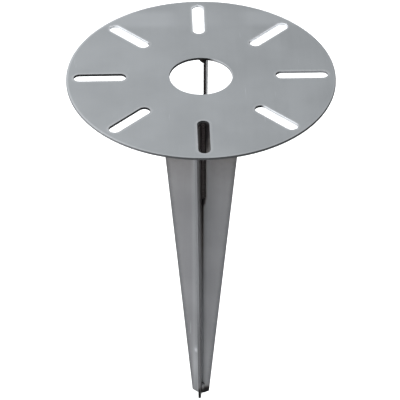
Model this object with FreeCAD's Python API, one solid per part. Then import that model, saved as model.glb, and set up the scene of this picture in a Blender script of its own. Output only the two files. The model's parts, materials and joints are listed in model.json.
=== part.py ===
import FreeCAD, Part
import math
import os

# Ground spike: a round slotted sheet-steel disc welded on a cross-shaped stake.
# The stake is two identical angle blades, folded from sheet and set fold to fold.
# Lengths are in millimetres, +Z is up, and the origin is the centre of the disc's top face.
# One pair of slots lies along X and one along Y.

# Mounting disc
disc_diameter = 150.0
disc_thickness = 1.5
rim_round = 0.4
cable_hole_diameter = 35.0

# Radial slots, cut right through the disc
slot_count = 8
slot_width = 6.5
slot_length = 29.0
slot_rim_margin = 4.3

# Angle blades, measured from the stake's axis to the free edge of a leg
blade_sheet = 1.5
fold_inside_radius = 1.5
fold_gap = 0.1
stake_length = 240.0
blade_reach_top = 25.4
side_reach_tip = 5.2
front_reach_tip = 6.6
side_tip_rise = 2.0
tip_round = 1.0
stake_turn = -9.5

# Notch under the cable hole, cut out of the top of each blade
notch_depth = 25.0
notch_round = 3.0
side_notch_margin = 1.0
ear_overhang = 1.5

# Fillet welds under the disc, one along each ear of the blades
ear_weld_leg = 3.2
ear_weld_sink = 0.8
ear_weld_inset = 0.4

# Seam and tip welds in the grooves between the two folds
seam_weld_radius = 3.3
seam_weld_length = 58.0
seam_weld_drop = 1.0
tip_weld_radius = 2.9
tip_weld_length = 8.0
tip_weld_lift = 0.6
weld_root = 0.6
weld_end_round = 1.1

# Heights and faces that follow from the sizes above
underside = -disc_thickness
notch_floor = underside - notch_depth
tip = underside - stake_length
cable_hole_radius = cable_hole_diameter / 2
slot_centre_radius = disc_diameter / 2 - slot_rim_margin - slot_length / 2
fold_outside_radius = fold_inside_radius + blade_sheet
fold_centre = -(fold_outside_radius + fold_gap / 2) / math.sqrt(2)
leg_outer_face = fold_centre + fold_outside_radius
leg_root = -fold_centre
side_notch_reach = cable_hole_radius + side_notch_margin
front_notch_reach = cable_hole_radius - ear_overhang

up = FreeCAD.Vector(0, 0, 1)
origin = FreeCAD.Vector(0, 0, 0)


def rounded_outline(corners):
    """Closed wire through (point, radius) corners, where a radius makes the corner a tangent arc."""
    arrivals = []
    departures = []
    edges = []
    for i, (corner, radius) in enumerate(corners):
        if radius == 0:
            arrivals.append(corner)
            departures.append(corner)
            continue
        to_last = (corners[i - 1][0] - corner).normalize()
        to_next = (corners[(i + 1) % len(corners)][0] - corner).normalize()
        half_angle = to_last.getAngle(to_next) / 2
        setback = radius / math.tan(half_angle)
        bisector = (to_last + to_next).normalize()
        arrival = corner + to_last * setback
        departure = corner + to_next * setback
        middle = corner + bisector * (radius / math.sin(half_angle) - radius)
        edges.append(Part.Arc(arrival, middle, departure).toShape())
        arrivals.append(arrival)
        departures.append(departure)
    for i, departure in enumerate(departures):
        edges.append(Part.makeLine(departure, arrivals[(i + 1) % len(corners)]))
    return Part.Wire(Part.__sortEdges__(edges))


def turned(shape, degrees):
    """The shape turned about the stake's axis."""
    copy = shape.copy()
    copy.rotate(origin, up, degrees)
    return copy


def swap_x_and_y(shape):
    """The shape mirrored in the upright plane that swaps X and Y."""
    return shape.mirror(origin, FreeCAD.Vector(1, -1, 0))


def slot_cutter():
    """A round-ended bar along X, standing through the disc where a slot goes."""
    end_radius = slot_width / 2
    half_straight = slot_length / 2 - end_radius
    near = slot_centre_radius - half_straight
    far = slot_centre_radius + half_straight
    base = 2 * underside
    height = 3 * disc_thickness
    middle = Part.makeBox(far - near, slot_width, height, FreeCAD.Vector(near, -end_radius, base))
    near_end = Part.makeCylinder(end_radius, height, FreeCAD.Vector(near, 0, base))
    far_end = Part.makeCylinder(end_radius, height, FreeCAD.Vector(far, 0, base))
    return middle.fuse([near_end, far_end]).removeSplitter()


def mounting_disc():
    """Flat disc with a rolled upper rim, a cable hole in the middle and a ring of radial slots."""
    blank = Part.makeCylinder(disc_diameter / 2, disc_thickness, FreeCAD.Vector(0, 0, underside))
    upper_rim = [edge for edge in blank.Edges if edge.isClosed() and edge.CenterOfMass.z > underside / 2]
    disc = blank.makeFillet(rim_round, upper_rim)
    cutters = [Part.makeCylinder(cable_hole_radius, 3 * disc_thickness, FreeCAD.Vector(0, 0, 2 * underside))]
    for i in range(slot_count):
        cutters.append(turned(slot_cutter(), i * 360 / slot_count))
    return disc.cut(cutters)


def leg(notch_reach, tip_reach, tip_rise):
    """One flat leg of a blade, along -X: tapered to the tip, with the notch cut from its top.
    The lower end slants up by tip_rise from the fold to the leg's outer edge."""
    def point(reach, height):
        return FreeCAD.Vector(-reach, leg_outer_face, height)

    corners = [
        (point(leg_root, notch_floor), 0),
        (point(notch_reach, notch_floor), notch_round),
        (point(notch_reach, underside), 0),
        (point(blade_reach_top, underside), 0),
        (point(tip_reach, tip + tip_rise), tip_round),
        (point(leg_root, tip), 0),
    ]
    face = Part.Face(rounded_outline(corners))
    return face.extrude(FreeCAD.Vector(0, -blade_sheet, 0))


def fold():
    """The bent strip that joins the two legs: a quarter of a tube as tall as the legs at their root."""
    base = FreeCAD.Vector(fold_centre, fold_centre, tip)
    height = notch_floor - tip
    outside = Part.makeCylinder(fold_outside_radius, height, base, up, 90)
    inside = Part.makeCylinder(fold_inside_radius, height, base, up, 90)
    return outside.cut(inside)


def angle_blade():
    """Left and front legs in one sheet, folded at a right angle with the outside of the fold at the axis."""
    left = leg(side_notch_reach, side_reach_tip, side_tip_rise)
    front = swap_x_and_y(leg(front_notch_reach, front_reach_tip, 0))
    return left.fuse([fold(), front]).removeSplitter()


def round_bar(start, direction, length, radius):
    """A bar with softened ends, from which a weld bead is cut."""
    bar = Part.makeCylinder(radius, length, start, direction)
    rims = [edge for edge in bar.Edges if edge.isClosed()]
    return bar.makeFillet(weld_end_round, rims)


def ear_weld(notch_reach):
    """Fillet bead in the corner between the disc and the outer face of the left ear."""
    start = max(notch_reach, cable_hole_radius) + ear_weld_inset
    length = blade_reach_top - ear_weld_inset - start
    radius = math.hypot(ear_weld_leg + ear_weld_sink, ear_weld_sink)
    axis_y = leg_outer_face - ear_weld_sink
    axis_z = underside + ear_weld_sink
    bar = round_bar(FreeCAD.Vector(-start, axis_y, axis_z), FreeCAD.Vector(-1, 0, 0), length, radius)
    corner = FreeCAD.Vector(-start - length, leg_outer_face, underside - radius)
    return bar.common(Part.makeBox(length, radius, radius, corner))


def groove_weld(blades, bottom, length, radius):
    """Bead that fills the groove between the front leg and the right leg, over one stretch of it."""
    bar = round_bar(FreeCAD.Vector(0, 0, bottom), up, length, radius)
    corner = FreeCAD.Vector(weld_root, -weld_root - radius, bottom)
    quarter = bar.common(Part.makeBox(radius, radius, length, corner))
    return quarter.cut(blades)


def build():
    """Every piece of the spike by name."""
    front_left = angle_blade()
    back_right = turned(front_left, 180)
    blades = [front_left, back_right]
    left_ear_weld = ear_weld(side_notch_reach)
    front_ear_weld = swap_x_and_y(ear_weld(front_notch_reach))
    seam_bottom = notch_floor - seam_weld_drop - seam_weld_length
    seam_weld = groove_weld(blades, seam_bottom, seam_weld_length, seam_weld_radius)
    tip_weld = groove_weld(blades, tip + tip_weld_lift, tip_weld_length, tip_weld_radius)
    stake = {
        "blade_front_left": front_left,
        "blade_back_right": back_right,
        "ear_weld_left": left_ear_weld,
        "ear_weld_right": turned(left_ear_weld, 180),
        "ear_weld_front": front_ear_weld,
        "ear_weld_back": turned(front_ear_weld, 180),
        "seam_weld_front": seam_weld,
        "seam_weld_back": turned(seam_weld, 180),
        "tip_weld_front": tip_weld,
        "tip_weld_back": turned(tip_weld, 180),
    }
    pieces = {"mounting_disc": mounting_disc()}
    for name, shape in stake.items():
        pieces[name] = turned(shape, stake_turn)
    return pieces


os.makedirs("parts", exist_ok=True)
for name, shape in build().items():
    solid = shape.Solids[0]
    solid.exportStep(os.path.join("parts", name + ".step"))
    print(name, "solids", len(shape.Solids), "volume mm3 %.1f" % solid.Volume, "valid", solid.isValid())
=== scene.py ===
import json
import math

import bmesh
import bpy
import numpy as np
from mathutils import Matrix, Vector


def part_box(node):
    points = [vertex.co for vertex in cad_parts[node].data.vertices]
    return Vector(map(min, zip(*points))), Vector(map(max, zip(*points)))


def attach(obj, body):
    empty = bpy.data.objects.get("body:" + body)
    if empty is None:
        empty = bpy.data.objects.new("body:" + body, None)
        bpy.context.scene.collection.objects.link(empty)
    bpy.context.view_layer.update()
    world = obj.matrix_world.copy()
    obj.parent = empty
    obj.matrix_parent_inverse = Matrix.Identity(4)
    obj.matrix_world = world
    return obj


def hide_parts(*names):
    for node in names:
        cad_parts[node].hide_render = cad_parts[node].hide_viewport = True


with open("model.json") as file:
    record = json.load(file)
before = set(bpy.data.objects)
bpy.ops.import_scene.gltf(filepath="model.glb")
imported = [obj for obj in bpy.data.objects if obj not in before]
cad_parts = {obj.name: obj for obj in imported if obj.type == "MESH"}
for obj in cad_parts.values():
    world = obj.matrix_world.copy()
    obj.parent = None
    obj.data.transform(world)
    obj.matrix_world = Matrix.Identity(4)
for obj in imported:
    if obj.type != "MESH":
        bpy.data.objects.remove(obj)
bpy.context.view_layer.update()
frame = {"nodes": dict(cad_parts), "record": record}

# Ground spike: a satin steel disc, two folded blades and rippled weld beads.
# Lengths are in metres. Named angles are in degrees, and a bearing is counted from +X towards +Y.
mm = 0.001
mounts = {mount["name"]: mount for mount in frame["record"]["mounts"]}

# Disc, read from the frame and its mounts
disc_low, disc_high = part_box("mounting_disc")
disc_radius = min(disc_high.x, -disc_low.x)
disc_top = disc_high.z
disc_underside = disc_low.z
disc_thickness = disc_top - disc_underside
hole_radius = mounts["cable_hole"]["dims"]["r_mm"] * mm
slot_half_width = mounts["slots_x"]["dims"]["hole_r_mm"] * mm
slot_half_length = mounts["slots_x"]["dims"]["slot_length_mm"] * mm / 2
slot_centre_radius = mounts["slots_x"]["dims"]["spacing_x_mm"] * mm / 2
slot_count = 8
rim_round = 0.4 * mm
cut_round = 0.16 * mm

# Blades, folded from one sheet each; a reach is measured from the stake's axis
tip_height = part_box("blade_front_left")[0].z
blade_sheet = 1.5 * mm
fold_inside_radius = 1.5 * mm
fold_gap = 0.1 * mm
reach_top = 25.4 * mm
side_reach_tip = 5.2 * mm
front_reach_tip = 6.6 * mm
side_tip_rise = 2.0 * mm
tip_round = 1.0 * mm
notch_floor = disc_underside - 25.0 * mm
notch_round = 3.0 * mm
side_notch_reach = hole_radius + 1.0 * mm
front_notch_reach = hole_radius - 1.5 * mm
stake_turn = -9.5

# The fold and the legs' faces seen from above, and a leg's flat width from the fold's middle less its reach
fold_middle_radius = fold_inside_radius + blade_sheet / 2
fold_centre = -(fold_inside_radius + blade_sheet + fold_gap / 2) / math.sqrt(2)
fold_half_arc = fold_middle_radius * math.pi / 4
leg_outer_face = fold_centre + fold_inside_radius + blade_sheet
flat_less_reach = fold_half_arc + fold_centre

# Weld beads
ear_weld_leg = 3.2 * mm
ear_weld_sink = 0.8 * mm
ear_weld_inset = 0.4 * mm
seam_weld_radius = 3.3 * mm
seam_weld_length = 58.0 * mm
seam_weld_drop = 1.0 * mm
tip_weld_radius = 2.9 * mm
tip_weld_length = 8.0 * mm
tip_weld_lift = 0.6 * mm

# Surface of a bead: the share of its section that it fills, the rounding of its ends, its root in the
# joint, the angle that its edges go into the faces by and the step between the rings of its mesh.
# A ripple rises over a share of its pitch and bows to the start. Its place jitters, and the bead's height
# wanders, with a finer wander on it.
bead_fill = 0.93
bead_end_round = 0.9 * mm
bead_root = 0.9 * mm
bead_overlap = 4
ring_step = 0.16 * mm
ripple_pitch = 1.15 * mm
ripple_height = 0.13 * mm
ripple_rise = 0.72
ripple_bow = 0.9 * mm
jitter_size, jitter_pitch = 0.12 * mm, 5 * mm
wander_share, wander_pitch = 0.05, 9 * mm
finer_share, finer_pitch = 0.02, 3.1 * mm

# Camera, fitted to the outlines in a picture of 400 pixels; its turn is about the disc's axis
focal_length_pixels = 2178.8
picture_width_pixels = 400
camera_sensor = 36.0
camera_back = 0.9888
camera_height = 0.7026
camera_turn = -1.62
camera_pitch = 38.655
camera_pan = -0.031


# Sheets and how they are meshed


def turned(points, degrees):
    """Points turned about the stake's axis: x and y take the usual rotation by the angle, z stays."""
    angle = math.radians(degrees)
    x, y, z = points[..., 0], points[..., 1], points[..., 2]
    return np.stack(
        [x * math.cos(angle) - y * math.sin(angle), x * math.sin(angle) + y * math.cos(angle), z], axis=-1
    )


def swapped(points):
    """Points mirrored in the upright plane that swaps x and y."""
    return points[..., [1, 0, 2]]


def smooth_step(value, low, high):
    """From 0 at low to 1 at high by the cubic that is level at both."""
    share = np.clip((value - low) / (high - low), 0, 1)
    return share * share * (3 - 2 * share)


def bell(across, height, middle, half_width):
    """A bell curve round one spot of the flat pattern: 1 there, 1/e at half_width from it either way."""
    off_middle = ((across - middle[0]) / half_width[0]) ** 2 + ((height - middle[1]) / half_width[1]) ** 2
    return np.exp(-off_middle)


def spread(start, end, count):
    """Evenly spaced values from start to end, the end left out, to be joined with the next stretch."""
    return np.linspace(start, end, count, endpoint=False)


def merged(points, quads):
    """Flat points that coincide, by their coordinates rounded to a tenth of a micron, become one. The
    third result is the number that each point had before."""
    keys = np.round(points / 1e-7).astype(np.int64)
    _, first, index = np.unique(keys, axis=0, return_index=True, return_inverse=True)
    return points[first], index.reshape(-1)[quads], first


def grid_quads(rows, columns):
    """Corner numbers of each cell of a grid of rows by columns points, one cell after another."""
    corner = np.arange(rows * columns).reshape(rows, columns)
    cells = np.stack([corner[:-1, :-1], corner[1:, :-1], corner[1:, 1:], corner[:-1, 1:]], axis=-1)
    return cells.reshape(-1, 4)


def outline_of(points, quads):
    """The outline's directed edges, which are the quads' edges that no other quad runs back along,
    and the outward direction at each point, long enough to move both edges there by one unit."""
    ends = np.roll(quads, -1, axis=1)
    edges = np.stack([quads.reshape(-1), ends.reshape(-1)], axis=1)
    forward = edges[:, 0] * len(points) + edges[:, 1]
    backward = edges[:, 1] * len(points) + edges[:, 0]
    edges = edges[~np.isin(forward, backward)]
    along = points[edges[:, 1]] - points[edges[:, 0]]
    along /= np.linalg.norm(along, axis=1, keepdims=True)
    sideways = np.stack([along[:, 1], -along[:, 0]], axis=1)
    leaving = np.zeros_like(points)
    arriving = np.zeros_like(points)
    leaving[edges[:, 0]] = sideways
    arriving[edges[:, 1]] = sideways
    outward = (leaving + arriving) / (1 + np.sum(leaving * arriving, axis=1, keepdims=True))
    return edges, outward


def mesh_object(name, vertices, faces, normals=None, values=None):
    """A smooth mesh object at the origin, from whole arrays of vertices, equal-sized faces, normals and
    named values per vertex."""
    mesh = bpy.data.meshes.new(name)
    mesh.from_pydata(vertices.tolist(), [], faces.tolist())
    mesh.validate()
    mesh.polygons.foreach_set("use_smooth", np.ones(len(mesh.polygons), bool))
    for label, data in (values or {}).items():
        attribute = mesh.attributes.new(label, "FLOAT", "POINT")
        attribute.data.foreach_set("value", data.astype(np.float32))
    if normals is not None:
        mesh.normals_split_custom_set_from_vertices(normals.tolist())
    piece = bpy.data.objects.new(name, mesh)
    bpy.context.scene.collection.objects.link(piece)
    return piece


def thick_sheet(name, pattern, thickness, place, tint, polish_and_highlight):
    """A sheet over a flat pattern: its points, quads, distances from the outline and roundings of the cut
    edge. The two faces are the pattern at half the thickness either way. The cut edge goes round the
    outline in eight levels: a quarter circle out, a straight wall and a quarter circle back. place takes
    flat coordinates and a height above the sheet's middle to the part's frame, tint takes places there to
    heat tint and painted shade, and polish_and_highlight is each point's polish and painted highlight, both
    from 0 to 1."""
    points, quads, edge_distance, edge_round = pattern
    edges, outward = outline_of(points, quads)
    steps = np.radians([0, 30, 60, 90])
    leans = np.concatenate([steps, np.pi - steps[::-1]])
    sides = np.repeat([1, -1], len(steps))
    half = thickness / 2
    count = len(points)
    nudge = 0.01 * mm
    levels = []
    level_normals = []
    for lean, side in zip(leans, sides):
        flat = points + edge_round[:, None] * math.sin(lean) * outward
        beside = flat + nudge * outward
        height = side * (half - edge_round * (1 - abs(math.cos(lean))))
        spot = place(flat[:, 0], flat[:, 1], height)
        up = place(flat[:, 0], flat[:, 1], height + nudge) - spot
        out = place(beside[:, 0], beside[:, 1], height) - spot
        normal = math.cos(lean) * up + math.sin(lean) * out
        levels.append(spot)
        level_normals.append(normal / np.maximum(np.linalg.norm(normal, axis=1, keepdims=True), 1e-12))
    vertices = np.concatenate(levels)
    normals = np.concatenate(level_normals)
    faces = [quads, quads[:, ::-1] + (len(leans) - 1) * count]
    for level in range(len(leans) - 1):
        near = edges + level * count
        far = near + count
        faces.append(np.stack([near[:, 0], far[:, 0], far[:, 1], near[:, 1]], axis=1))
    used, faces = np.unique(np.concatenate(faces), return_inverse=True)
    values = {
        "cut": np.repeat(np.sin(leans), count)[used],
        "edge_distance": np.tile(edge_distance, len(leans))[used],
        "heat_tint_and_shade": tint(vertices[used]),
        "polish_and_highlight": np.tile(polish_and_highlight, len(leans))[used],
    }
    return mesh_object(name, vertices[used], faces.reshape(-1, 4), normals[used], values)


# Flat patterns


def disc_pattern():
    """Flat pattern of the disc: one half sector, laid twice for each slot, the second time mirrored. Its
    rows go outwards past the slot's outline, which is straight sides between two half circles. Its
    columns go by share of the angle from the slot's outline, or from its middle line, to the line midway
    to the next slot."""
    hole = hole_radius + cut_round
    rim = disc_radius - rim_round
    half_width = slot_half_width + cut_round
    near = slot_centre_radius - slot_half_length + slot_half_width
    far = slot_centre_radius + slot_half_length - slot_half_width
    turn = np.radians(np.linspace(0, 90, 10))
    before = np.concatenate([
        hole + np.array([0, 0.3, 0.9]) * mm, np.linspace(hole + 2 * mm, near - half_width, 12)
    ])[:-1]
    beside = np.linspace(near, far, 14)[1:-1]
    after = far + half_width + (rim - far - half_width) * np.array([0.35, 0.7, 0.9, 1.0])
    x = np.concatenate([
        before, near - half_width * np.cos(turn), beside, far + half_width * np.sin(turn), after
    ])
    y = np.concatenate([
        0 * before, half_width * np.sin(turn), half_width + 0 * beside, half_width * np.cos(turn), 0 * after
    ])
    y[np.abs(y) < 1e-9] = 0
    radius = np.hypot(x, y)
    share = np.linspace(0, 1, 13) ** 1.5
    half_sector = math.pi / slot_count
    at_slot = np.arctan2(y, x)[:, None]
    angle = at_slot + share[None, :] * (half_sector - at_slot)
    flat_x = radius[:, None] * np.cos(angle)
    flat_y = radius[:, None] * np.sin(angle)
    distance = np.maximum(np.hypot(flat_x - np.clip(flat_x, near, far), flat_y) - half_width, 0)
    rounds = np.where(radius > (rim + far) / 2 + half_width / 2, rim_round, cut_round)
    quads = grid_quads(*flat_x.shape)
    points, cells, distances, edge_rounds = [], [], [], []
    for sector in range(slot_count):
        bearing = 2 * half_sector * sector
        for flip in (1, -1):
            points.append(np.stack([
                flat_x * math.cos(bearing) - flip * flat_y * math.sin(bearing),
                flat_x * math.sin(bearing) + flip * flat_y * math.cos(bearing),
            ], axis=-1).reshape(-1, 2))
            cells.append((quads if flip == 1 else quads[:, ::-1]) + len(cells) * flat_x.size)
            distances.append(distance.reshape(-1))
            edge_rounds.append(np.repeat(rounds, flat_x.shape[1]))
    points, quads, first = merged(np.concatenate(points), np.concatenate(cells))
    return points, quads, np.concatenate(distances)[first], np.concatenate(edge_rounds)[first]


def reach_at(height, reach_tip, tip_rise):
    """How far a leg reaches at a height: straight from reach_top at the disc to reach_tip at its corner."""
    corner_height = tip_height + tip_rise
    return reach_tip + (reach_top - reach_tip) * (height - corner_height) / (disc_underside - corner_height)


def tip_corner(reach_tip, tip_rise, count):
    """The rounded lower corner of a leg, inset by the cut's rounding: reaches and heights on a circle,
    and the angles of the lower end and of the slanted edge. The circle's centre is where the lines at
    tip_round inside both cross."""
    lean = math.atan2(reach_top - reach_tip, disc_underside - tip_height - tip_rise)
    slant = math.atan2(tip_rise, reach_tip + fold_centre)
    rise, run = math.tan(slant), math.tan(lean)
    lift = tip_round / math.cos(slant) + rise * fold_centre - tip_rise
    centre_reach = (reach_tip + lift * run - tip_round / math.cos(lean)) / (1 - rise * run)
    centre_height = tip_height + rise * (centre_reach + fold_centre) + tip_round / math.cos(slant)
    turn = np.linspace(slant, math.pi / 2 - lean, count)
    radius = tip_round - cut_round
    return centre_reach + radius * np.sin(turn), centre_height - radius * np.cos(turn), slant, lean


def leg_pattern(notch_reach, reach_tip, tip_rise):
    """Half of a blade's flat pattern, from the middle of the fold outwards: the body below the notch
    floor and the ear above it, each a grid of (across, height, distance from the outline). Rows go up and
    columns outwards. Each row of the body runs straight from its height on the fold to its point on the
    outline, which follows the tip's rounded corner and then the slanted edge. Both heights are the same
    from levelling above that corner. The ear's inner edge is a quarter circle of notch_round, then
    upright."""
    levelling = 20 * mm
    close_rows = notch_floor - 70 * mm
    corner_rows = 8
    body_columns = 8
    corner_reaches, corner_heights, slant, lean = tip_corner(reach_tip, tip_rise, corner_rows)
    floor = notch_floor - cut_round
    top = disc_underside - cut_round
    low = tip_height + cut_round + tip_round
    heights = np.concatenate([
        np.linspace(tip_height + cut_round, low, corner_rows), np.linspace(low, close_rows, 60)[1:],
        np.linspace(close_rows, notch_floor - 2 * mm, 50)[1:], [notch_floor - 0.8 * mm, floor],
    ])
    fading = np.clip(1 - (heights - low) / levelling, 0, 1)
    outer_heights = heights + fading * (corner_heights[-1] - low)
    outer_heights[:corner_rows] = corner_heights
    outer = reach_at(outer_heights, reach_tip, tip_rise) - cut_round / math.cos(lean)
    outer[:corner_rows] = corner_reaches
    outer = outer + flat_less_reach
    split = notch_reach - notch_round + flat_less_reach
    split_share = (split - fold_half_arc) / (outer[-1] - fold_half_arc)
    past_split = split_share + (1 - split_share) * np.array([0, 0.25, 0.5, 0.7, 0.85, 0.94, 1.0])
    shares = np.concatenate([spread(0, split_share, body_columns), past_split])
    fold = np.linspace(0, fold_half_arc, 9)
    leg = fold_half_arc + shares[None, 1:] * (outer[:, None] - fold_half_arc)
    across = np.concatenate([np.repeat(fold[None, :], len(heights), axis=0), leg], axis=1)
    leg_height = heights[:, None] + shares[None, 1:] * (outer_heights - heights)[:, None]
    body_height = np.concatenate([np.repeat(heights[:, None], len(fold), axis=1), leg_height], axis=1)
    from_side = (outer[:, None] - across) * math.cos(lean)
    from_end = body_height - heights[0] - np.maximum(across - fold_half_arc, 0) * math.tan(slant)
    body = (across, body_height, np.minimum(np.minimum(from_side, from_end), floor - body_height + 1 * mm))

    arc = np.linspace(0, math.pi / 2, 8)
    arc_heights = notch_floor + notch_round - (notch_round + cut_round) * np.cos(arc)
    arc_heights[0] = floor
    ear_heights = np.concatenate([
        arc_heights, np.linspace(arc_heights[-1], top - 1 * mm, 18)[1:], [top - 0.3 * mm, top],
    ])
    below = np.maximum(notch_floor + notch_round - ear_heights, 0)
    inner = split + np.sqrt((notch_round + cut_round) ** 2 - below ** 2)
    inner[0] = split
    ear_outer = reach_at(ear_heights, reach_tip, tip_rise) - cut_round / math.cos(lean) + flat_less_reach
    ear_shares = (shares[body_columns:] - split_share) / (1 - split_share)
    ear_across = inner[:, None] + ear_shares[None, :] * (ear_outer - inner)[:, None]
    ear_height = np.repeat(ear_heights[:, None], len(ear_shares), axis=1)
    from_sides = np.minimum(ear_outer[:, None] - ear_across, ear_across - inner[:, None])
    ear = (ear_across, ear_height, np.minimum(from_sides, top - ear_height))
    return [body, ear]


def blade_pattern():
    """Flat pattern of a blade: the side leg on the fold's positive side, the front leg on the other."""
    points, cells, distances, count = [], [], [], 0
    legs = (
        (1, side_notch_reach, side_reach_tip, side_tip_rise),
        (-1, front_notch_reach, front_reach_tip, 0),
    )
    for flip, notch_reach, reach_tip, tip_rise in legs:
        for across, height, distance in leg_pattern(notch_reach, reach_tip, tip_rise):
            quads = grid_quads(*across.shape)
            points.append(np.stack([flip * across, height], axis=-1).reshape(-1, 2))
            cells.append((quads[:, ::-1] if flip == 1 else quads) + count)
            distances.append(distance.reshape(-1))
            count += across.size
    points, quads, first = merged(np.concatenate(points), np.concatenate(cells))
    return points, quads, np.concatenate(distances)[first], np.full(len(points), cut_round)


def folded(across, height, above):
    """Place on the bent sheet: on the fold, a circle round its centre from 90 degrees to 0 as across
    falls from plus to minus half the arc; past it, straight on along the side leg or the front leg."""
    radius = fold_middle_radius + above
    turn = np.pi / 4 * (1 + np.clip(across / fold_half_arc, -1, 1))
    beyond_side = np.maximum(across - fold_half_arc, 0)
    beyond_front = np.maximum(-across - fold_half_arc, 0)
    x = fold_centre + radius * np.cos(turn) - beyond_side
    y = fold_centre + radius * np.sin(turn) - beyond_front
    return np.stack([x, y, height + 0 * x], axis=-1)


# A small dent low on the side leg: its spot in the flat pattern, its half widths and its depth
dent_spot = (2.5 * mm, tip_height + 35 * mm)
dent_size = (1.2 * mm, 1.6 * mm)
dent_depth = 0.09 * mm


def dented(across, height, above):
    """The bent sheet with the dent: pushed in by a bell curve about its spot."""
    return folded(across, height, above + dent_depth * bell(across, height, dent_spot, dent_size))


# Heat tint and painted shade, from 0 for bare metal to 1 for black


def ear_weld_axis(notch_reach):
    """Start and end of the ear bead's axis for the side leg, before the stake's turn."""
    start = max(notch_reach, hole_radius) + ear_weld_inset
    y = leg_outer_face - ear_weld_sink
    z = disc_underside + ear_weld_sink
    return np.array([[-start, y, z], [-(reach_top - ear_weld_inset), y, z]])


# Axes of the beads before their half turn, each as its two ends
seam_top = notch_floor - seam_weld_drop
seam_bottom = seam_top - seam_weld_length
tip_weld_bottom = tip_height + tip_weld_lift
seam_axis = np.array([[0, 0, seam_bottom], [0, 0, seam_top]])
tip_axis = np.array([[0, 0, tip_weld_bottom], [0, 0, tip_weld_bottom + tip_weld_length]])
side_ear_axis = ear_weld_axis(side_notch_reach)
front_ear_axis = swapped(ear_weld_axis(front_notch_reach))

# Each tint has an axis, a radius that it is full within and a reach that it fades over.
# Below its ear each leg has a wider painted shade too, where the disc above shades it, whose strength comes
# first.
ear_tint_reach = 3.2 * mm
side_leg_shade = (0.45, 40 * mm, 34 * mm)
front_leg_shade = (0.7, 14 * mm, 12 * mm)
back_leg_shade = (0.62, 22 * mm, 26 * mm)
leg_shade_start = (2 * mm, 6 * mm)
disc_tint = 0.6
disc_tint_reach = 3.5 * mm

# Darkening low on the right leg, and painted shade on the front leg's lower end: their ends, in mm from the
# tip
tip_darkening_ends = np.array([
    [[1.0, -2.4, 0.3], [side_reach_tip / mm, -2.4, 1.8]],
    [[2.4, -1.0, 0], [2.4, -front_reach_tip / mm, 0]],
])
right_low_dark_axis, front_tail_shade_axis = tip_darkening_ends * mm + np.array([0, 0, tip_height])
right_low_dark = (right_low_dark_axis, 3.2 * mm, 1.8 * mm)
front_tail_shade = (front_tail_shade_axis, 6 * mm, 4 * mm)

# Where a side that faces into a groove begins, and the side of the front leg that takes painted shade at
# its lower end
groove_start = (-0.2 * mm, 0.7 * mm)
front_tail_shade_start = (-1.1 * mm, -0.5 * mm)

# Weld smoke beside the seam bead and painted shade down its groove: its length below the bead, its strength
# by share of that, its edge on the right leg beside and below the bead, its fading there low down and near
# the notch, and its reach on the front and the back leg
groove_shade_length = 80 * mm
groove_shade_fall = ((0, 0.12, 0.4, 1), (1, 0.68, 0.48, 0))
groove_shade_edge = (2.6 * mm, 1.0 * mm)
groove_shade_fading = (0.8 * mm, 3.8 * mm)
groove_shade_on_front = 13 * mm
groove_shade_on_back = 6 * mm


def tint_round_axis(points, axis, radius, reach):
    """Tint round a straight axis, for heat tint round a weld and for painted shade: full within the radius,
    then a bell curve of the distance with the reach. The distance is that from the foot of the
    perpendicular, held between the axis's two ends."""
    start, along = axis[0], axis[1] - axis[0]
    share = np.clip((points - start) @ along / (along @ along), 0, 1)
    away = np.linalg.norm(points - start - share[..., None] * along, axis=-1)
    return np.exp(-((np.maximum(away - radius, 0) / reach) ** 2))


def groove_smoke_and_shade(right, front, height, leg_reach):
    """Weld smoke beside the bead and painted shade down a groove, the product of three. Below the seam bead
    it thins out by straight stretches over groove_shade_length. Out along the right leg it is full to
    groove_shade_edge, which draws in just below the bead, and then fades as a bell curve. Out along the
    front leg it is full for 2 mm and then fades as a bell curve of leg_reach at the notch floor, narrowing
    to a quarter of it at the lower end of the smoke and shade."""
    below = np.clip((seam_bottom - height) / groove_shade_length, 0, 1)
    strength = np.interp(below, *groove_shade_fall)
    edge = groove_shade_edge[0] + (groove_shade_edge[1] - groove_shade_edge[0]) * smooth_step(below, 0, 0.1)
    near_notch = smooth_step(height, notch_floor - 30 * mm, notch_floor - 8 * mm)
    fading = groove_shade_fading[0] + (groove_shade_fading[1] - groove_shade_fading[0]) * near_notch
    on_right = np.exp(-((np.maximum(right - edge, 0) / fading) ** 2))
    drop = np.clip((notch_floor - height) / (notch_floor - seam_bottom + groove_shade_length), 0, 1)
    on_front = np.exp(-((np.maximum(front - 2 * mm, 0) / (leg_reach * (1 - 0.75 * drop))) ** 2))
    return strength * on_right * on_front


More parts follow.
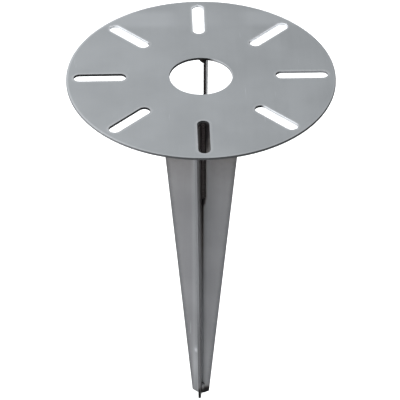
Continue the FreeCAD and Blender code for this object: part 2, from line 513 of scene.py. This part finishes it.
def heat_tint_and_shade_of(points):
    """Heat tint and painted shade on the blades as the largest of these: heat tint round each ear bead;
    painted shade under the disc, more weakly down its leg, by a smooth step away from the axis; weld smoke
    and painted shade, and the darkening low on the right leg, on the two sides that face into each groove;
    and painted shade on the front leg's lower end."""
    tint = np.zeros(len(points))
    halves = ((0, groove_shade_on_front, front_leg_shade), (180, groove_shade_on_back, back_leg_shade))
    for half_turn, leg_reach, leg_shade in halves:
        local = turned(points, -stake_turn - half_turn)
        right, front = local[:, 0], -local[:, 1]
        ears = ((side_ear_axis, -right) + side_leg_shade, (front_ear_axis, front) + leg_shade)
        for axis, out, share, radius, reach in ears:
            # Painted shade under the disc, down the leg below its ear.
            shade_down_leg = share * tint_round_axis(local, axis, radius, reach) * smooth_step(out, *leg_shade_start)
            round_bead = tint_round_axis(local, axis, ear_weld_leg, ear_tint_reach)
            tint = np.maximum(tint, np.maximum(round_bead, shade_down_leg))
        # Weld smoke beside the seam bead and painted shade down the groove.
        groove = groove_smoke_and_shade(right, front, local[:, 2], leg_reach)
        # Darkening along the right leg's lower edge beside the tip.
        groove = np.maximum(groove, tint_round_axis(local, *right_low_dark))
        inside = smooth_step(right, *groove_start) * smooth_step(front, *groove_start)
        # Painted shade on the front leg's lower end.
        tail_shade = tint_round_axis(local, *front_tail_shade) * smooth_step(right, *front_tail_shade_start)
        tint = np.maximum(tint, np.maximum(inside * groove, tail_shade * (front > 2 * mm)))
    return tint


def disc_heat(points):
    """Heat tint along the ear welds on the disc, from full at its underside to none at its top face."""
    tint = np.zeros(len(points))
    for half_turn in (0, 180):
        local = turned(points, -stake_turn - half_turn)
        for axis in (side_ear_axis, front_ear_axis):
            tint = np.maximum(tint, disc_tint * tint_round_axis(local, axis, ear_weld_leg, disc_tint_reach))
    return tint * np.clip((disc_top - points[:, 2]) / disc_thickness, 0, 1)


# Disc, and its painted highlights: the slots' walls by bearing, the rim and more on its lit left side, the
# part of the hole's wall that faces the light, and a painted sheen in a band across the back, in its middle
# and beside it
slot_highlight = {0: 0.2, 45: 0.7, 90: 0.6, 135: 0.55, -45: 0.55}
slot_half_bearing = 10
lit_rim_bearings = (95, 150)
hole_highlight_start_bearings, hole_highlight_end_bearings = (-30, -10), (74, 62)
rim_highlight, lit_rim_highlight = 0.04, 0.13
hole_wall_highlight = 0.3
band_sheen, band_side_sheen = 0.015, 0.065
band_middle = 6 * mm
band_front, band_back = (46 * mm, 53 * mm), (68 * mm, 61 * mm)
band_sides = (16 * mm, 26 * mm)


def make_disc():
    """The disc with its painted highlights, the sum of those on the rim, more so on its lit left, on the
    hole's wall, on the slots' walls and the painted sheen in the band. Smooth steps bound the lit part of
    the rim, the part of the hole's wall, the slots' inner ends and the band."""
    pattern = disc_pattern()
    x, y = pattern[0][:, 0], pattern[0][:, 1]
    on_slot_wall = pattern[2] < 1e-9
    middle = (disc_top + disc_underside) / 2

    def place(flat_x, flat_y, above):
        """The flat pattern laid at the height of the disc's middle."""
        return np.stack([flat_x, flat_y, middle + above + 0 * flat_x], axis=-1)

    radius, bearing = np.hypot(x, y), np.degrees(np.arctan2(y, x))
    lit_side = smooth_step(np.abs(bearing), *lit_rim_bearings)
    at_rim = (rim_highlight + lit_rim_highlight * lit_side) * (radius > disc_radius - 2 * rim_round)
    at_hole_wall = hole_wall_highlight * (radius < hole_radius + 0.2 * mm)
    at_hole_wall = at_hole_wall * smooth_step(bearing, *hole_highlight_start_bearings)
    at_hole_wall = at_hole_wall * smooth_step(bearing, *hole_highlight_end_bearings)
    slot_inner_end = slot_centre_radius - slot_half_length
    off_inner_end = smooth_step(radius, slot_inner_end + 1 * mm, slot_inner_end + 3.5 * mm)
    at_slots = on_slot_wall * off_inner_end * sum(
        highlight * (np.abs(bearing - slot) < slot_half_bearing) for slot, highlight in slot_highlight.items()
    )
    at_back = smooth_step(y, *band_front) * smooth_step(y, *band_back)
    beside = smooth_step(np.abs(x - band_middle), *band_sides)
    # Painted highlights on the rim, the hole's wall and the slots' walls, and a painted sheen across the
    # back
    polish_and_highlight = at_rim + at_hole_wall + at_slots + at_back * (band_sheen + band_side_sheen * beside)
    return thick_sheet("disc_plate", pattern, disc_thickness, place, disc_heat, polish_and_highlight)


# Blades, and where they are lighter: painted highlights in stripes on the fold and beside it, in the
# groove, on the front leg's edge and its bright cut, and a painted glint on the dent with a pale patch
# below it, each with its spot in the flat pattern and half widths
beside_fold_spot = fold_half_arc + 1.9 * mm
beside_fold_highlight, stripe_width = 0.06, 1.1 * mm
on_fold_highlight, fold_width = 0.08, 1.6 * mm
lit_groove_share, lit_groove_heights = 0.2, (tip_height + 105 * mm, tip_height + 60 * mm)
front_edge_highlight, front_edge_inset = 0.035, (1.2 * mm, 0.4 * mm)
bright_cut_highlight, bright_cut_inset = 0.08, (0.35 * mm, 0.2 * mm)
bright_cut_heights = (tip_height + 50 * mm, tip_height + 90 * mm)
pale_patch_share, pale_patch_spot, pale_patch_size = 0.07, (2.6 * mm, tip_height + 24 * mm), (1.7 * mm, 11 * mm)
glint_share, glint_spot, glint_size = 0.45, (2.5 * mm, tip_height + 36 * mm), (0.8 * mm, 1.2 * mm)


def fold_highlights(across):
    """Painted highlights of the fold: bell curves across, on each leg beside the fold and on the fold."""
    beside = np.exp(-(((np.abs(across) - beside_fold_spot) / stripe_width) ** 2))
    return beside_fold_highlight * beside + on_fold_highlight * np.exp(-((across / fold_width) ** 2))


def lit_groove(across, height, reach):
    """Painted light in the groove below the weld smoke and painted shade, on half of the fold and reach
    past it:
    smooth steps either way across, and one that falls upwards over lit_groove_heights."""
    outer = fold_half_arc + reach
    beside = smooth_step(across, -1 * mm, 0) * smooth_step(across, outer, outer - 1.5 * mm)
    return lit_groove_share * beside * smooth_step(height, *lit_groove_heights)


def back_blade_highlights(across, height):
    """The fold's painted highlights at a third, and the painted light in the groove along its side leg."""
    return fold_highlights(across) / 3 + lit_groove(across, height, 0)


def front_blade_highlights(across, height):
    """The sum of the fold's painted highlights, the painted light in the groove along the front leg, a
    painted highlight that rises by a smooth step towards the front leg's edge, a painted highlight on the
    cut there that comes in upwards, the pale patch and the painted glint."""
    front_edge = reach_at(height, front_reach_tip, 0) + flat_less_reach
    toward_front_edge = smooth_step(-across, front_edge - front_edge_inset[0], front_edge - front_edge_inset[1])
    bright_cut = smooth_step(-across, front_edge - bright_cut_inset[0], front_edge - bright_cut_inset[1])
    bright_cut = bright_cut * smooth_step(height, *bright_cut_heights)
    # A pale patch, and a painted glint on the dent.
    pale_patch = bell(across, height, pale_patch_spot, pale_patch_size)
    glint = bell(across, height, glint_spot, glint_size)
    marks = pale_patch_share * pale_patch + glint_share * glint + front_edge_highlight * toward_front_edge
    marks = marks + bright_cut_highlight * bright_cut + lit_groove(-across, height, 1.5 * mm)
    return np.clip(fold_highlights(across) + marks, 0, 1)


def make_blade(name, half_turn, bend, highlight):
    """A blade: bend takes the flat pattern to the folded sheet, which is turned with the stake and by
    half_turn, and highlight takes the pattern to its painted highlights."""
    pattern = blade_pattern()

    def place(across, height, above):
        """The folded sheet, turned into the part's frame."""
        return turned(bend(across, height, above), stake_turn + half_turn)

    polish_and_highlight = highlight(pattern[0][:, 0], pattern[0][:, 1])
    return thick_sheet(name, pattern, blade_sheet, place, heat_tint_and_shade_of, polish_and_highlight)


# Weld beads


def smooth_noise(along, seed, pitch):
    """A gentle random curve from -1 to 1: three sines whose phases come from the seed, each shorter than
    the last in pitch and height."""
    rng = np.random.default_rng(seed)
    scales = (1.0, 0.57, 0.31)
    total = 0 * along
    for scale in scales:
        total = total + scale * np.sin(2 * np.pi * along / (pitch * scale) + rng.uniform(0, 2 * np.pi))
    return total / sum(scales)


# Tint of an ear or seam bead at its ends and in its middle, the run that a fall by 1 would take, and the
# stretch over which a tip bead clears
end_tint, middle_tint, tint_run = 0.5, 0.1, 12 * mm
tip_bead_clears = (2.6 * mm, 6.5 * mm)


def long_bead_heat(along, length):
    """Tint along an ear or seam bead: faint in the middle and straight up over the last few millimetres."""
    from_end = np.minimum(along, length - along)
    return np.clip(end_tint - from_end / tint_run, middle_tint, end_tint)


def tip_bead_heat(along, length):
    """Tint along a tip bead of any length: black at its lower end, and clear past a smooth step."""
    return 1 - smooth_step(along, *tip_bead_clears)


def weld_bead(name, axis, first, section, turn, seed):
    """A weld bead about an axis, between two faces at right angles. section holds the direction of the
    second face, the radius, the edge angle and the function of the bead's heat. Across, the surface is an
    arc from the first direction to the second, short of each by the edge angle, closed through a root
    inside the joint. Along, the radius falls as a quarter ellipse at the ends, and its belly, a parabola
    over the arc, wanders by smooth noise. On it lie ripples: a rounded saw-tooth of the distance along,
    bowed by the belly to crescents."""
    second, radius, edge_angle, bead_heat = section
    length = np.linalg.norm(axis[1] - axis[0])
    along_way = (axis[1] - axis[0]) / length
    along = length * np.linspace(0, 1, max(int(length / ring_step), 24))
    share = np.linspace(0, 1, 17)
    angle = np.radians(edge_angle + (90 - 2 * edge_angle) * share)
    belly = 4 * share * (1 - share)[None, :]
    from_end = np.minimum(along, length - along)
    end_round = min(bead_end_round, length / 3)
    taper = np.sqrt(np.clip(1 - (1 - np.clip(from_end / end_round, 0, 1)) ** 2, 0, 1))[:, None]
    wander = wander_share * smooth_noise(along, seed, wander_pitch)
    wander = wander + finer_share * smooth_noise(along, seed + 7, finer_pitch)
    jitter = jitter_size * smooth_noise(along, seed + 3, jitter_pitch)
    phase = (along[:, None] + ripple_bow * belly + jitter[:, None]) / ripple_pitch
    tooth = phase - np.floor(phase)
    ripple = smooth_step(np.minimum(tooth / ripple_rise, (1 - tooth) / (1 - ripple_rise)), 0, 1)
    rise = (radius - bead_root) * (bead_fill + wander[:, None] * belly)
    rise = rise + ripple_height * (ripple - 0.6) * (0.25 + 0.75 * belly)
    reach = bead_root + rise * (0.4 + 0.6 * taper)
    centre = axis[0] + along[:, None, None] * along_way
    arc = np.cos(angle)[None, :, None] * first + np.sin(angle)[None, :, None] * second
    surface = centre + reach[..., None] * arc
    heart = centre + bead_root * (first + second) / math.sqrt(2)
    rings = np.concatenate([surface, heart], axis=1)
    rows, columns = rings.shape[:2]
    ring = np.arange(rows * columns).reshape(rows, columns)
    after = np.roll(ring, -1, axis=1)
    faces = np.stack([ring[:-1], ring[1:], after[1:], after[:-1]], axis=-1).reshape(-1, 4)
    piece = mesh_object(name, turned(rings.reshape(-1, 3), turn), faces, values={
        "heat_tint_and_shade": np.repeat(bead_heat(along, length), columns),
        "ripple": np.concatenate([ripple, 0 * ripple[:, :1]], axis=1).reshape(-1),
    })
    close_ends(piece)
    return piece


def close_ends(piece):
    """Fills the two open ends of a bead and turns all its faces outwards."""
    mesh = bmesh.new()
    mesh.from_mesh(piece.data)
    open_edges = [edge for edge in mesh.edges if edge.is_boundary]
    bmesh.ops.holes_fill(mesh, edges=open_edges, sides=0)
    bmesh.ops.triangulate(mesh, faces=[face for face in mesh.faces if len(face.verts) > 4])
    bmesh.ops.recalc_face_normals(mesh, faces=mesh.faces)
    mesh.to_mesh(piece.data)
    mesh.free()


def bead_edge(face_distance, radius):
    """The angle at which an arc about a bead's axis comes out of a face, less the overlap that sinks it
    in: the arc's sine there is the face's distance from the axis over the radius."""
    return math.degrees(math.asin(face_distance / radius)) - bead_overlap


def make_welds():
    """Every bead with the CAD node that it stands for: made for one half and turned by half a turn."""
    out_of_leg = np.array([0.0, 1.0, 0.0])
    down = np.array([0.0, 0.0, -1.0])
    front = np.array([0.0, -1.0, 0.0])
    right = np.array([1.0, 0.0, 0.0])
    ear_radius = math.hypot(ear_weld_leg + ear_weld_sink, ear_weld_sink)
    ear = (down, ear_radius, bead_edge(ear_weld_sink, ear_radius), long_bead_heat)
    seam = (right, seam_weld_radius, bead_edge(leg_outer_face, seam_weld_radius), long_bead_heat)
    tip = (right, tip_weld_radius, bead_edge(leg_outer_face, tip_weld_radius), tip_bead_heat)
    rows = (
        ("ear_weld", ("left", "right"), side_ear_axis, out_of_leg, ear),
        ("ear_weld", ("front", "back"), front_ear_axis, swapped(out_of_leg), ear),
        ("seam_weld", ("front", "back"), seam_axis, front, seam),
        ("tip_weld", ("front", "back"), tip_axis, front, tip),
    )
    made = []
    for kind, sides, axis, first, section in rows:
        for half_turn, side in zip((0, 180), sides):
            node = kind + "_" + side
            bead = weld_bead(node + "_bead", axis, first, section, stake_turn + half_turn, len(made))
            made.append((bead, node))
    return made


# Shader building


def feed(tree, node, inputs):
    """Gives a node its inputs by name or number, each as a value or as a socket to link."""
    for label, value in inputs.items():
        if isinstance(value, bpy.types.NodeSocket):
            tree.links.new(value, node.inputs[label])
        else:
            node.inputs[label].default_value = value


def add_node(tree, kind, inputs, **settings):
    """A node with its settings and inputs; the result is its outputs."""
    node = tree.nodes.new(kind)
    for label, value in settings.items():
        setattr(node, label, value)
    feed(tree, node, inputs)
    return node.outputs


def maths(tree, operation, a, b, clamp=False):
    """One sum on two values, held within 0 and 1 where clamp says so."""
    return add_node(tree, "ShaderNodeMath", {0: a, 1: b}, operation=operation, use_clamp=clamp)[0]


def weighed(tree, share, first, second):
    """A share of the first value and the rest of the second, added up."""
    part, rest = maths(tree, "MULTIPLY", first, share), maths(tree, "MULTIPLY", second, 1 - share)
    return maths(tree, "ADD", part, rest)


def ramp(tree, factor, low, high, to_low=0.0, to_high=1.0, curve="SMOOTHSTEP"):
    """From to_low to to_high as factor goes from low to high, by a smooth step unless curve is LINEAR."""
    inputs = {"Value": factor, "From Min": low, "From Max": high, "To Min": to_low, "To Max": to_high}
    return add_node(tree, "ShaderNodeMapRange", inputs, interpolation_type=curve)["Result"]


def mix_colour(tree, factor, first, second, blend="MIX"):
    """From the first colour to the second by the factor, or to their product where blend is MULTIPLY."""
    inputs = {0: factor, 6: first, 7: second}
    return add_node(tree, "ShaderNodeMix", inputs, data_type="RGBA", blend_type=blend)[2]


def noise(tree, position, scale, detail, stretch=(1, 1, 1)):
    """Noise of the position, of scale cells per metre, with each axis multiplied by its stretch first."""
    placed = add_node(tree, "ShaderNodeMapping", {"Vector": position, "Scale": stretch})[0]
    return add_node(tree, "ShaderNodeTexNoise", {"Vector": placed, "Scale": scale, "Detail": detail})["Fac"]


def new_group(name, inputs, outputs):
    """An empty shader node group with named inputs (kind and default) and outputs (kind). The results are
    its tree, what it is given and what it puts out."""
    tree = bpy.data.node_groups.new(name, "ShaderNodeTree")
    for label, (kind, value) in inputs.items():
        socket = tree.interface.new_socket(label, in_out="INPUT", socket_type=kind)
        socket.default_value = value
    for label, kind in outputs.items():
        tree.interface.new_socket(label, in_out="OUTPUT", socket_type=kind)
    return tree, tree.nodes.new("NodeGroupInput").outputs, tree.nodes.new("NodeGroupOutput")


# Sizes of the noises, in cells per metre
fine_streak_cells, broad_streak_cells, cloud_cells = 2600, 420, 26
scratch_cells, scratch_patch_cells = 1300, 60
edge_band_cells, tint_cells, striation_cells, speckle_cells, floor_cells = 700, 320, 3200, 1400, 3


def rolled_grain_group():
    """Mill finish of cold-rolled sheet: fine and broad streaks along the axis that is stretched, soft
    clouds, and a few long scratches where a second noise lets them through."""
    tree, given, out = new_group(
        "rolled grain",
        {"Position": ("NodeSocketVector", (0, 0, 0)), "Stretch": ("NodeSocketVector", (1, 1, 1))},
        {"Streaks": "NodeSocketFloat", "Clouds": "NodeSocketFloat", "Scratches": "NodeSocketFloat"},
    )
    place = given["Position"]
    inputs = {0: place, 1: given["Stretch"]}
    stretched = add_node(tree, "ShaderNodeVectorMath", inputs, operation="MULTIPLY")[0]
    fine = noise(tree, stretched, fine_streak_cells, 3.0)
    broad = noise(tree, stretched, broad_streak_cells, 2.0)
    lines = ramp(tree, noise(tree, stretched, scratch_cells, 0.0), 0.78, 0.84)
    where = ramp(tree, noise(tree, place, scratch_patch_cells, 1.0), 0.52, 0.62)
    feed(tree, out, {
        "Streaks": weighed(tree, 0.45, fine, broad), "Clouds": noise(tree, place, cloud_cells, 3.0),
        "Scratches": maths(tree, "MULTIPLY", lines, where),
    })
    return tree


def edge_band_group():
    """A band along the outline, painted highlight on the disc and painted shade on the blades: from 1 on it
    by a smooth step to 0 at the width, which noise makes uneven.
    """
    tree, given, out = new_group(
        "edge band",
        {
            "Position": ("NodeSocketVector", (0, 0, 0)), "Distance": ("NodeSocketFloat", 0.0),
            "Width": ("NodeSocketFloat", 0.6 * mm),
        },
        {"Mask": "NodeSocketFloat"},
    )
    jitter = noise(tree, given["Position"], edge_band_cells, 2.0)
    width = maths(tree, "MULTIPLY", given["Width"], maths(tree, "ADD", jitter, 0.5))
    share = maths(tree, "DIVIDE", given["Distance"], width)
    feed(tree, out, {"Mask": ramp(tree, share, 0.0, 1.0, 1.0, 0.0)})
    return tree


# What the metal's colour is multiplied by as the heat tint and painted shade rise, from clear over browns
# to nearly black
tint_and_shade_colours = (
    (0.0, (1, 1, 1, 1)), (0.15, (1, 0.99, 0.98, 1)), (0.3, (0.84, 0.82, 0.8, 1)),
    (0.45, (0.58, 0.53, 0.49, 1)), (0.6, (0.32, 0.285, 0.27, 1)), (0.8, (0.14, 0.125, 0.125, 1)),
    (1.0, (0.045, 0.04, 0.042, 1)),
)


def tint_and_shade_group():
    """Oxide and smoke beside a weld, and painted shade: the metal's colour times the colour of the tint,
    which noise makes uneven in proportion to it."""
    tree, given, out = new_group(
        "heat tint and shade",
        {
            "Position": ("NodeSocketVector", (0, 0, 0)), "Heat": ("NodeSocketFloat", 0.0),
            "Metal": ("NodeSocketColor", (0.5, 0.5, 0.5, 1)),
        },
        {"Color": "NodeSocketColor"},
    )
    uneven = maths(tree, "SUBTRACT", noise(tree, given["Position"], tint_cells, 3.0), 0.5)
    uneven = maths(tree, "MULTIPLY", maths(tree, "MULTIPLY", uneven, given["Heat"]), 0.4)
    tint = maths(tree, "ADD", given["Heat"], uneven, clamp=True)
    band = tree.nodes.new("ShaderNodeValToRGB")
    feed(tree, band, {"Fac": tint})
    first, *between, last = tint_and_shade_colours
    elements = band.color_ramp.elements
    elements[0].position, elements[0].color = first
    elements[1].position, elements[1].color = last
    for position, colour in between:
        elements.new(position).color = colour
    tinted = mix_colour(tree, 1.0, given["Metal"], band.outputs["Color"], blend="MULTIPLY")
    feed(tree, out, {"Color": tinted})
    return tree


groups = {"grain": rolled_grain_group(), "edge_band": edge_band_group(), "tint": tint_and_shade_group()}


def use_group(tree, key, inputs):
    """The outputs of a group that is placed in a material with its own inputs."""
    return add_node(tree, "ShaderNodeGroup", inputs, node_tree=groups[key])


def new_material(name):
    """A material with one shader wired to its output, and the place on the piece for its patterns."""
    material = bpy.data.materials.new(name)
    material.use_nodes = True
    tree = material.node_tree
    tree.nodes.clear()
    shader = tree.nodes.new("ShaderNodeBsdfPrincipled")
    feed(tree, tree.nodes.new("ShaderNodeOutputMaterial"), {"Surface": shader.outputs[0]})
    position = tree.nodes.new("ShaderNodeTexCoord").outputs["Object"]
    return material, tree, shader, position


def read_value(tree, label):
    """A value of the mesh, such as its heat tint and painted shade, as it runs between the vertices."""
    return add_node(tree, "ShaderNodeAttribute", {}, attribute_name=label)["Fac"]


def tinted_metal(tree, position, metal):
    """The metal's colour with the piece's own heat tint and painted shade on it."""
    inputs = {"Position": position, "Heat": read_value(tree, "heat_tint_and_shade"), "Metal": metal}
    return use_group(tree, "tint", inputs)["Color"]


# Materials

# Sheet steel: colours of what is bare, its roughness by streaks, what a cut adds and the edge band takes
# away, and the scratches' depth and the cut's ridges against the streaks' own height
scratch_colour = (0.8, 0.81, 0.83, 1)
scratch_share = 0.12
# Colour that polish and painted highlights mix the metal towards
polish_and_highlight_colour = (0.78, 0.8, 0.83, 1)
sheet_roughness = (0.335, 0.405)
cut_roughness = 0.16
edge_gloss = 0.08
scratch_depth = 0.6
ridge_height = 1.5


def sheet_steel(name, light, dark, cut, edge, edge_width, edge_share, stretch, metallic, specular):
    """Satin sheet steel. From light to dark by streaks and clouds, then towards each of these by its
    mask: pale scratches, a striated rougher cut, the edge's colour beside the outline, which is painted
    highlight on the disc and painted shade on the blades, polish and painted highlights, and heat tint and
    painted shade. Roughness and bump follow the same streaks, scratches and cut."""
    material, tree, shader, position = new_material(name)
    grain = use_group(tree, "grain", {"Position": position, "Stretch": stretch})
    outline = {"Position": position, "Distance": read_value(tree, "edge_distance"), "Width": edge_width}
    edge_band = use_group(tree, "edge_band", outline)["Mask"]
    tone = weighed(tree, 0.25, grain["Streaks"], grain["Clouds"])
    metal = mix_colour(tree, ramp(tree, tone, 0.32, 0.68), dark, light)
    scratches = grain["Scratches"]
    metal = mix_colour(tree, maths(tree, "MULTIPLY", scratches, scratch_share), metal, scratch_colour)
    striation = noise(tree, position, striation_cells, 2.0, stretch=(1, 1, 0.12))
    cut_metal = mix_colour(tree, striation, cut, tuple(1.5 * part for part in cut[:3]) + (1,))
    on_cut = ramp(tree, read_value(tree, "cut"), 0.15, 0.6)
    metal = mix_colour(tree, on_cut, metal, cut_metal)
    on_edge = maths(tree, "MULTIPLY", edge_band, maths(tree, "SUBTRACT", 1.0, on_cut))
    metal = mix_colour(tree, maths(tree, "MULTIPLY", on_edge, edge_share), metal, edge)
    # Polish and painted highlights
    metal = mix_colour(tree, read_value(tree, "polish_and_highlight"), metal, polish_and_highlight_colour)
    rough = ramp(tree, grain["Streaks"], 0.3, 0.7, *sheet_roughness)
    rough = maths(tree, "ADD", rough, maths(tree, "MULTIPLY", on_cut, cut_roughness))
    rough = maths(tree, "SUBTRACT", rough, maths(tree, "MULTIPLY", on_edge, edge_gloss))
    depth = maths(tree, "MULTIPLY", scratches, scratch_depth)
    ridges = maths(tree, "MULTIPLY", maths(tree, "MULTIPLY", striation, on_cut), ridge_height)
    height = maths(tree, "ADD", maths(tree, "SUBTRACT", grain["Streaks"], depth), ridges)
    bump = add_node(tree, "ShaderNodeBump", {"Strength": 0.25, "Distance": 0.02 * mm, "Height": height})
    feed(tree, shader, {
        "Base Color": tinted_metal(tree, position, metal), "Roughness": rough, "Normal": bump[0],
        "Metallic": metallic, "Specular IOR Level": specular, "Specular Tint": (0.35, 0.35, 0.35, 1),
    })
    return material


def weld_steel(name, valley, crest):
    """Weld metal: from valley to crest by the ripples and a speckle, which roughness and bump follow too,
    and tinted by its heat."""
    material, tree, shader, position = new_material(name)
    speckle = noise(tree, position, speckle_cells, 3.0)
    tone = weighed(tree, 0.55, read_value(tree, "ripple"), speckle)
    metal = mix_colour(tree, ramp(tree, tone, 0.2, 0.8), valley, crest)
    bump = add_node(tree, "ShaderNodeBump", {"Strength": 0.4, "Distance": 0.04 * mm, "Height": speckle})
    feed(tree, shader, {
        "Base Color": tinted_metal(tree, position, metal), "Metallic": 1.0,
        "Roughness": ramp(tree, speckle, 0.3, 0.7, 0.3, 0.5), "Normal": bump[0],
    })
    return material


# The disc's edge colour is a painted highlight beside its slots; the blades' is painted shade along their
# edges.
disc_steel = sheet_steel(
    "disc steel", light=(0.278, 0.289, 0.298, 1), dark=(0.246, 0.256, 0.264, 1),
    cut=(0.015, 0.0155, 0.016, 1), edge=(0.8, 0.8, 0.81, 1), edge_width=2 * mm, edge_share=0.1,
    stretch=(1.0, 0.03, 1.0), metallic=0.8, specular=0.4,
)
blade_steel = sheet_steel(
    "blade steel", light=(0.179, 0.18, 0.186, 1), dark=(0.15, 0.151, 0.156, 1),
    cut=(0.055, 0.055, 0.057, 1), edge=(0.05, 0.05, 0.052, 1), edge_width=2.7 * mm, edge_share=0.5,
    stretch=(1.0, 1.0, 0.03), metallic=0.5, specular=0.15,
)
weld_metal = weld_steel("weld metal", valley=(0.005, 0.0045, 0.0045, 1), crest=(0.024, 0.02, 0.0195, 1))
ground_weld = weld_steel("ground weld metal", valley=(0.075, 0.075, 0.078, 1), crest=(0.13, 0.13, 0.134, 1))


# The pieces, and the same steels on the CAD nodes that they stand for


def dress(piece, material, slot, *nodes):
    """Gives a piece its material and body, and hides the CAD nodes that it stands for; slot is not used."""
    piece.data.materials.append(material)
    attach(piece, "root")
    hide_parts(*nodes)


dress(make_disc(), disc_steel, "disc_steel", "mounting_disc")
front_left = make_blade("blade_sheet_front_left", 0, dented, front_blade_highlights)
dress(front_left, blade_steel, "blade_steel", "blade_front_left")
back_right = make_blade("blade_sheet_back_right", 180, folded, back_blade_highlights)
dress(back_right, blade_steel, "blade_steel", "blade_back_right")
for bead, node in make_welds():
    dress(bead, ground_weld if node.startswith("tip_weld") else weld_metal, "weld_metal", node)
node_steels = {
    "mounting_disc": disc_steel, "blade_front_left": blade_steel, "blade_back_right": blade_steel,
}
for node, piece in frame["nodes"].items():
    for material_slot in piece.material_slots:
        material_slot.material = node_steels.get(node, weld_metal)


# Studio


def make_floor():
    """A pale level floor, far enough below the tip that hardly any shadow of the stake falls on it."""
    half = 3.0
    drop = 40 * mm
    corners = np.array([[-half, -half], [half, -half], [half, half], [-half, half]])
    vertices = np.concatenate([corners, np.full((4, 1), tip_height - drop)], axis=1)
    floor = mesh_object("studio_floor", vertices, np.array([[0, 1, 2, 3]]))
    material, tree, shader, position = new_material("pale floor")
    clouds = noise(tree, position, floor_cells, 2.0)
    shade = mix_colour(tree, clouds, (0.92, 0.92, 0.92, 1), (0.95, 0.95, 0.95, 1))
    feed(tree, shader, {"Base Color": shade, "Roughness": 0.9, "Specular IOR Level": 0.1})
    floor.data.materials.append(material)


# Strength of the surroundings
left_to_right = (1.8, 0.67)
level_to_overhead = (0.6, 1.75)


def make_world():
    """Soft surroundings: the product of a fall from left to right and a rise from level to overhead."""
    world = bpy.data.worlds.new("studio")
    bpy.context.scene.world = world
    world.use_nodes = True
    tree = world.node_tree
    tree.nodes.clear()
    direction = tree.nodes.new("ShaderNodeTexCoord").outputs["Generated"]
    parts = add_node(tree, "ShaderNodeSeparateXYZ", {0: direction})
    side = ramp(tree, parts["X"], -0.1, 0.1, *left_to_right, curve="LINEAR")
    height = ramp(tree, parts["Z"], 0.4, 0.85, *level_to_overhead, curve="LINEAR")
    strength = maths(tree, "MULTIPLY", side, height)
    light = add_node(tree, "ShaderNodeBackground", {"Color": (0.97, 0.985, 1.0, 1), "Strength": strength})
    feed(tree, tree.nodes.new("ShaderNodeOutputWorld"), {"Surface": light[0]})


def make_light(name, place, aim, size, power, colour):
    """A round lamp at a place, with its beam along the line from there to the aim."""
    light = bpy.data.lights.new(name, "AREA")
    light.shape = "DISK"
    light.size = size
    light.energy = power
    light.color = colour
    lamp = bpy.data.objects.new(name, light)
    bpy.context.scene.collection.objects.link(lamp)
    lamp.location = place
    lamp.rotation_mode = "QUATERNION"
    lamp.rotation_quaternion = (Vector(aim) - Vector(place)).to_track_quat("-Z", "Y")


def make_camera():
    """The camera: forward follows from pan and pitch, right is level and square to it, and up is their
    cross product. It stands camera_back in front of the axis and camera_height up, and then turns about
    the axis."""
    data = bpy.data.cameras.new("camera")
    data.sensor_width = camera_sensor
    data.lens = focal_length_pixels / picture_width_pixels * camera_sensor
    data.clip_start = 0.05
    data.clip_end = 20
    pan, pitch = math.radians(camera_pan), math.radians(camera_pitch)
    forward = Vector((math.sin(pan) * math.cos(pitch), math.cos(pan) * math.cos(pitch), -math.sin(pitch)))
    right = Vector((math.cos(pan), -math.sin(pan), 0))
    up = right.cross(forward)
    matrix = Matrix((right, up, -forward)).transposed().to_4x4()
    matrix.translation = Vector((0, -camera_back, camera_height))
    camera = bpy.data.objects.new("camera", data)
    bpy.context.scene.collection.objects.link(camera)
    camera.matrix_world = Matrix.Rotation(math.radians(camera_turn), 4, "Z") @ matrix
    bpy.context.scene.camera = camera


make_floor()
make_world()
make_light(
    "window", place=(-1.2, -0.25, 0.35), aim=(-0.05, 0, -0.1), size=0.7, power=11,
    colour=(1.0, 0.995, 0.985),
)
make_camera()
bpy.context.scene.view_settings.view_transform = "Standard"
